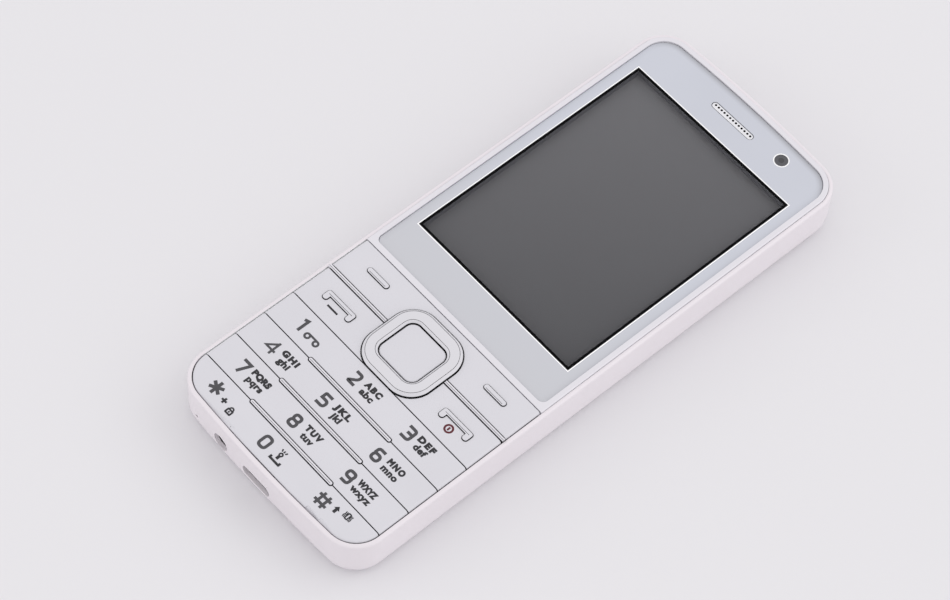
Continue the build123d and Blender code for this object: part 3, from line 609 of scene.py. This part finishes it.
for n in range(1, 5):
    finish["key_row_%d" % n] = key_white
    finish["row_carrier_%d" % n] = white_plastic
for name, obj in nodes.items():
    obj.data.materials.clear()
    obj.data.materials.append(finish[name])

# Display lens: printed border, white line, black edge and wall, smoked pane, display, camera
gap = 0.01
line_width = 0.26
edge_width = 0.62
edge_thick = 0.06
display_inset = 0.5
display_thick = 0.02
camera_hole_radius = 1.72
side_shade, end_shade = 0.15, 0.75
bands = [(0.45, 0.75), (0.95, 0.3), (1.5, 0.0)]

rounds = [(lens_edge * (1 - math.cos(t)), lens_top - lens_edge * (1 - math.sin(t)))
          for t in (0, math.pi / 8, math.pi / 4, 3 * math.pi / 8, math.pi / 2)]
rings = [(lens_plan(inset), z) for inset, z in rounds]
rings += [(lens_plan(inset), lens_top) for inset, shade in bands]
holes = [window_plan(-line_width), circle(*front_camera, camera_hole_radius),
         slot_plan(0, earpiece_y, earpiece_length, earpiece_width)]
shape = prism(lens_plan(0), holes, lens_bottom, lens_top, rings)
border = piece("lens_border", shape, print_white, "core")
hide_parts("display_lens")

# The border darkens towards its edge with a painted shadow from the rim, most at the top end and not at all
# at the low end
outline = turned(lens_plan(0), True)
count = len(outline)
shades = [1.0] * (1 + len(rounds)) + [shade for inset, shade in bands]
kept = border.data.attributes.new("rim_shade", "FLOAT", "POINT")
for i, value in enumerate(kept.data):
    before, after = Vector(outline[i % count - 1]), Vector(outline[(i + 1) % count])
    along = (after - before).normalized()
    facing = side_shade - end_shade * along.x
    value.value = max(0, facing) * shades[i // count] if i < count * len(shades) else 0.0

edge_low = lens_top - edge_thick
display_top = panel_top + display_thick
wall_low, wall_high = display_top + gap, edge_low - gap
line_outer, edge_outer = window_plan(gap - line_width), window_plan(gap)
edge_inner, pane_outer = window_plan(edge_width), window_plan(edge_width + gap)
# The window_line is a painted highlight: a white band for the light caught along the window's edge.
for name, outer, holes, low, high, material, slot in (
        ("window_line", line_outer, [window_plan(0)], lens_bottom, lens_top, line_white, "lens"),
        ("window_edge", edge_outer, [edge_inner], edge_low, lens_top, mask_black, "black_plastic"),
        ("window_wall", edge_outer, [edge_inner], wall_low, wall_high, wall_grey, "black_plastic"),
        ("window_pane", pane_outer, [], lens_bottom, lens_top, pane_clear, "clear_glass"),
        ("display_active", window_plan(display_inset), [], panel_top, display_top, panel_grey, "dark_glass")):
    piece(name, prism(outer, holes, low, high), material, "core")

for name, outer, inner, drop, material, slot in (
        ("camera_ring", 1.71, 1.46, 0.0, line_white, "lens"),
        ("camera_window", 1.45, 0.61, 0.02, camera_glass, "dark_glass"),
        ("camera_eye", 0.6, 0.0, 0.02, camera_dark, "dark_glass")):
    holes = [circle(*front_camera, inner)] if inner else []
    shape = prism(circle(*front_camera, outer), holes, lens_bottom, lens_top - drop)
    piece(name, shape, material, "core")

# Number legends, the numbers and the small signs of each row as two pieces
letter_groups = {"2": ("abc", 3.5), "3": ("def", 3.2), "4": ("ghi", 3.0), "5": ("jkl", 2.5),
                 "6": ("mno", 4.2), "7": ("pqrs", 4.3), "8": ("tuv", 3.2), "9": ("wxyz", 5.3)}
digit_edges = {"1": -19.65, "2": -4.25, "3": 12.0, "4": -20.3, "5": -4.2, "6": 11.72, "7": -20.05,
               "8": -4.36, "9": 11.7, "0": -4.4}
letter_middles = (-14.36, 1.5, 17.4)
capital_foot, capital_height, capital_bold = 0.33, 1.3, 0.08
small_foot, small_height = -1.54, 1.45
zero_rise = 0.08

# Where the signs stand: across the phone, and up or down from the row's own line
voice_mail_at = (-15.1, -0.98)
star_at = (-18.6, 0.5)
hash_at = (13.63, 0.35)
plus_at = (-15.4, -0.2)
lock_at = (-12.88, -1.1)
torch_at = (0.95, 0)
shift_at = (16.82, 1.1)
vibration_at = (19.4, 1.75)


def key_letters(text, width, x, y):
    """A key's letters, capitals above small ones. Three capitals stand further apart than four."""
    capital_width, spread = (5.0, 1.08) if len(text) == 4 else (4.5, 1.3)
    foot = y + capital_foot
    capitals = letters(text.upper(), x, foot, capital_height, capital_width, spread, capital_bold)
    return capitals + letters(text, x, y + small_foot, small_height, width)


def voice_mail(x, y):
    """Two reels with a tape over them."""
    reach, radius, width = 1.25, 0.56, 0.46
    reels = [ring_stroke(x + side * reach, y, radius, width, ink_z) for side in (-1, 1)]
    return reels + [stroke([(x - reach, y + radius), (x + reach, y + radius)], width, ink_z + ink_step)]


def plus(x, y, reach=0.68, width=0.46):
    """A plus sign."""
    return [stroke([(x - reach, y), (x + reach, y)], width, ink_z),
            stroke([(x, y - reach), (x, y + reach)], width, ink_z + ink_step)]


def key_lock(x, y):
    """A padlock: body, bow and keyhole."""
    return [stroke(rounded_box(x, y, 1.25, 0.95, 0.1, 2), 0.38, ink_z, closed=True),
            stroke(arc(x, y + 0.65, 0.44, 0, 180, 10), 0.32, ink_z + ink_step),
            stroke([(x, y + 0.15), (x, y - 0.2)], 0.34, ink_z + 2 * ink_step)]


def torch_sign(x, y):
    """A torch with three rays over a space bar."""
    bar = [(x - 1.15, y - 0.75), (x - 1.15, y - 1.35), (x + 1.4, y - 1.35), (x + 1.4, y - 0.75)]
    parts = [stroke(bar, 0.5, ink_z), ring_stroke(x, y + 0.55, 0.36, 0.34, ink_z)]
    parts.append(stroke([(x, y + 0.2), (x, y - 0.7)], 0.64, ink_z + ink_step))
    for k in (-1, 0, 1):
        parts.append(stroke([(x + 0.42 * k, y + 1.2), (x + 0.7 * k, y + 1.7)], 0.3, ink_z + 2 * ink_step))
    return parts


def shift_sign(x, y):
    """An upright arrow."""
    head = [(x - 0.7, y), (x + 0.7, y), (x, y + 0.82)]
    return [prism(head, [], ink_z, ink_z + 0.02), stroke([(x, y), (x, y - 0.9)], 0.64, ink_z + ink_step)]


def vibration_sign(x, y):
    """A small phone between wavy lines."""
    parts = [stroke(rounded_box(x, y, 0.6, 1.35, 0.1, 2), 0.28, ink_z, closed=True)]
    for side in (-1, 1):
        for reach in (0.56, 0.86):
            wave = [(x + side * reach, y - 0.75), (x + side * (reach + 0.1), y - 0.3),
                    (x + side * (reach - 0.05), y + 0.15), (x + side * (reach + 0.05), y + 0.65)]
            parts.append(stroke(wave, 0.2, ink_z))
    return parts


def on_row(place, y):
    """The place of a sign on the row whose line is at y."""
    return place[0], y + place[1]


for row, y in enumerate(row_lines):
    numbers, signs = [], []
    for column, x in enumerate(letter_middles):
        sign = str(3 * row + column + 1)
        if row < 3:
            numbers += digit(sign, digit_edges[sign], y)
        if sign in letter_groups:
            text, width = letter_groups[sign]
            signs += key_letters(text, width, x, y)
    if row == 0:
        numbers += voice_mail(*on_row(voice_mail_at, y))
    if row == 3:
        numbers += star(*on_row(star_at, y)) + digit("0", digit_edges["0"], y + zero_rise)
        numbers += hash_sign(*on_row(hash_at, y))
        for draw, place in ((plus, plus_at), (key_lock, lock_at), (torch_sign, torch_at),
                            (shift_sign, shift_at), (vibration_sign, vibration_at)):
            signs += draw(*on_row(place, y))
    body = "row_%d" % (row + 1)
    for name, parts, material in (("legend", numbers, ink_grey), ("signs", signs, ink_dark)):
        if parts:
            piece("%s_%s" % (name, body), joined(parts), material, body)

# A dash under the call mark, and a ring with a bar under the end mark
sign_y = -33.35
sign_stroke, bar_stroke = 0.42, 0.4
call_x, call_reach = -soft_spacing - 0.25, 1.5
end_x, end_ring, ring_drop = soft_spacing - 0.2, 0.85, 0.1
bar_low, bar_high = sign_y - 0.52, sign_y + 0.32
dash = stroke([(call_x - call_reach, sign_y), (call_x + call_reach, sign_y)], sign_stroke, ink_z)
piece("legend_call", dash, ink_dark, "call")
parts = [ring_stroke(end_x, sign_y - ring_drop, end_ring, sign_stroke, ink_z),
         stroke([(end_x, bar_low), (end_x, bar_high)], bar_stroke, ink_z + ink_step)]
piece("legend_end", joined(parts), ink_red, "end")

# Floor, light and camera
floor_half, floor_z = 3.0, -0.02 * MM
corners = [(x * floor_half, y * floor_half, floor_z) for x, y in ((-1, -1), (1, -1), (1, 1), (-1, 1))]
floor_mesh = bpy.data.meshes.new("floor")
floor_mesh.from_pydata(corners, [], [(0, 1, 2, 3)])
floor = bpy.data.objects.new("floor", floor_mesh)
bpy.context.scene.collection.objects.link(floor)
floor_pale = surface("floor_pale", "e4e3e6", rough=0.85, drift=0.006, patch=4, grain=500, relief=0.02,
                     specular=0.2)
floor_mesh.materials.append(floor_pale)

world = bpy.data.worlds.new("studio")
bpy.context.scene.world = world
world.use_nodes = True
sky = world.node_tree.nodes["Background"]
sky.inputs["Color"].default_value = (0.99, 0.98, 0.985, 1)
sky.inputs["Strength"].default_value = 0.92
softbox_size = 1.2


def softbox(name, place, power):
    """A square area light that looks at the middle of the phone."""
    light = bpy.data.lights.new(name, "AREA")
    light.shape = "SQUARE"
    light.size = softbox_size
    light.energy = power
    obj = bpy.data.objects.new(name, light)
    obj.location = place
    obj.rotation_euler = (Vector((0, 0, 0)) - Vector(place)).to_track_quat("-Z", "Y").to_euler()
    bpy.context.scene.collection.objects.link(obj)


softbox("softbox_back", (0.6, 1.1, 1.2), 3.5)
softbox("softbox_front", (-0.8, -1.2, 0.35), 3.4)
softbox("softbox_side", (1.3, 0.6, 0.35), 2.6)

# The camera was fitted to the photo: its axes and place in the frame, and its focal length in pixels
image_width = 950
focal_pixels = 3185.4
sensor_width = 36
camera_right = Vector((0.66043014, 0.74968503, 0.04247817))
camera_up = Vector((-0.65349985, 0.54599212, 0.52424284))
camera_back = Vector((0.36982426, -0.37398525, 0.8505087))
camera_place = Vector((0.23215258, -0.24637653, 0.54887622))
camera_data = bpy.data.cameras.new("camera")
camera_data.sensor_width = sensor_width
camera_data.sensor_fit = "HORIZONTAL"
camera_data.lens = focal_pixels * sensor_width / image_width
camera_data.clip_end = 20
camera = bpy.data.objects.new("camera", camera_data)
axes = Matrix((camera_right, camera_up, camera_back)).transposed().to_4x4()
camera.matrix_world = Matrix.Translation(camera_place) @ axes
bpy.context.scene.collection.objects.link(camera)
bpy.context.scene.camera = camera
bpy.context.scene.view_settings.view_transform = "Standard"
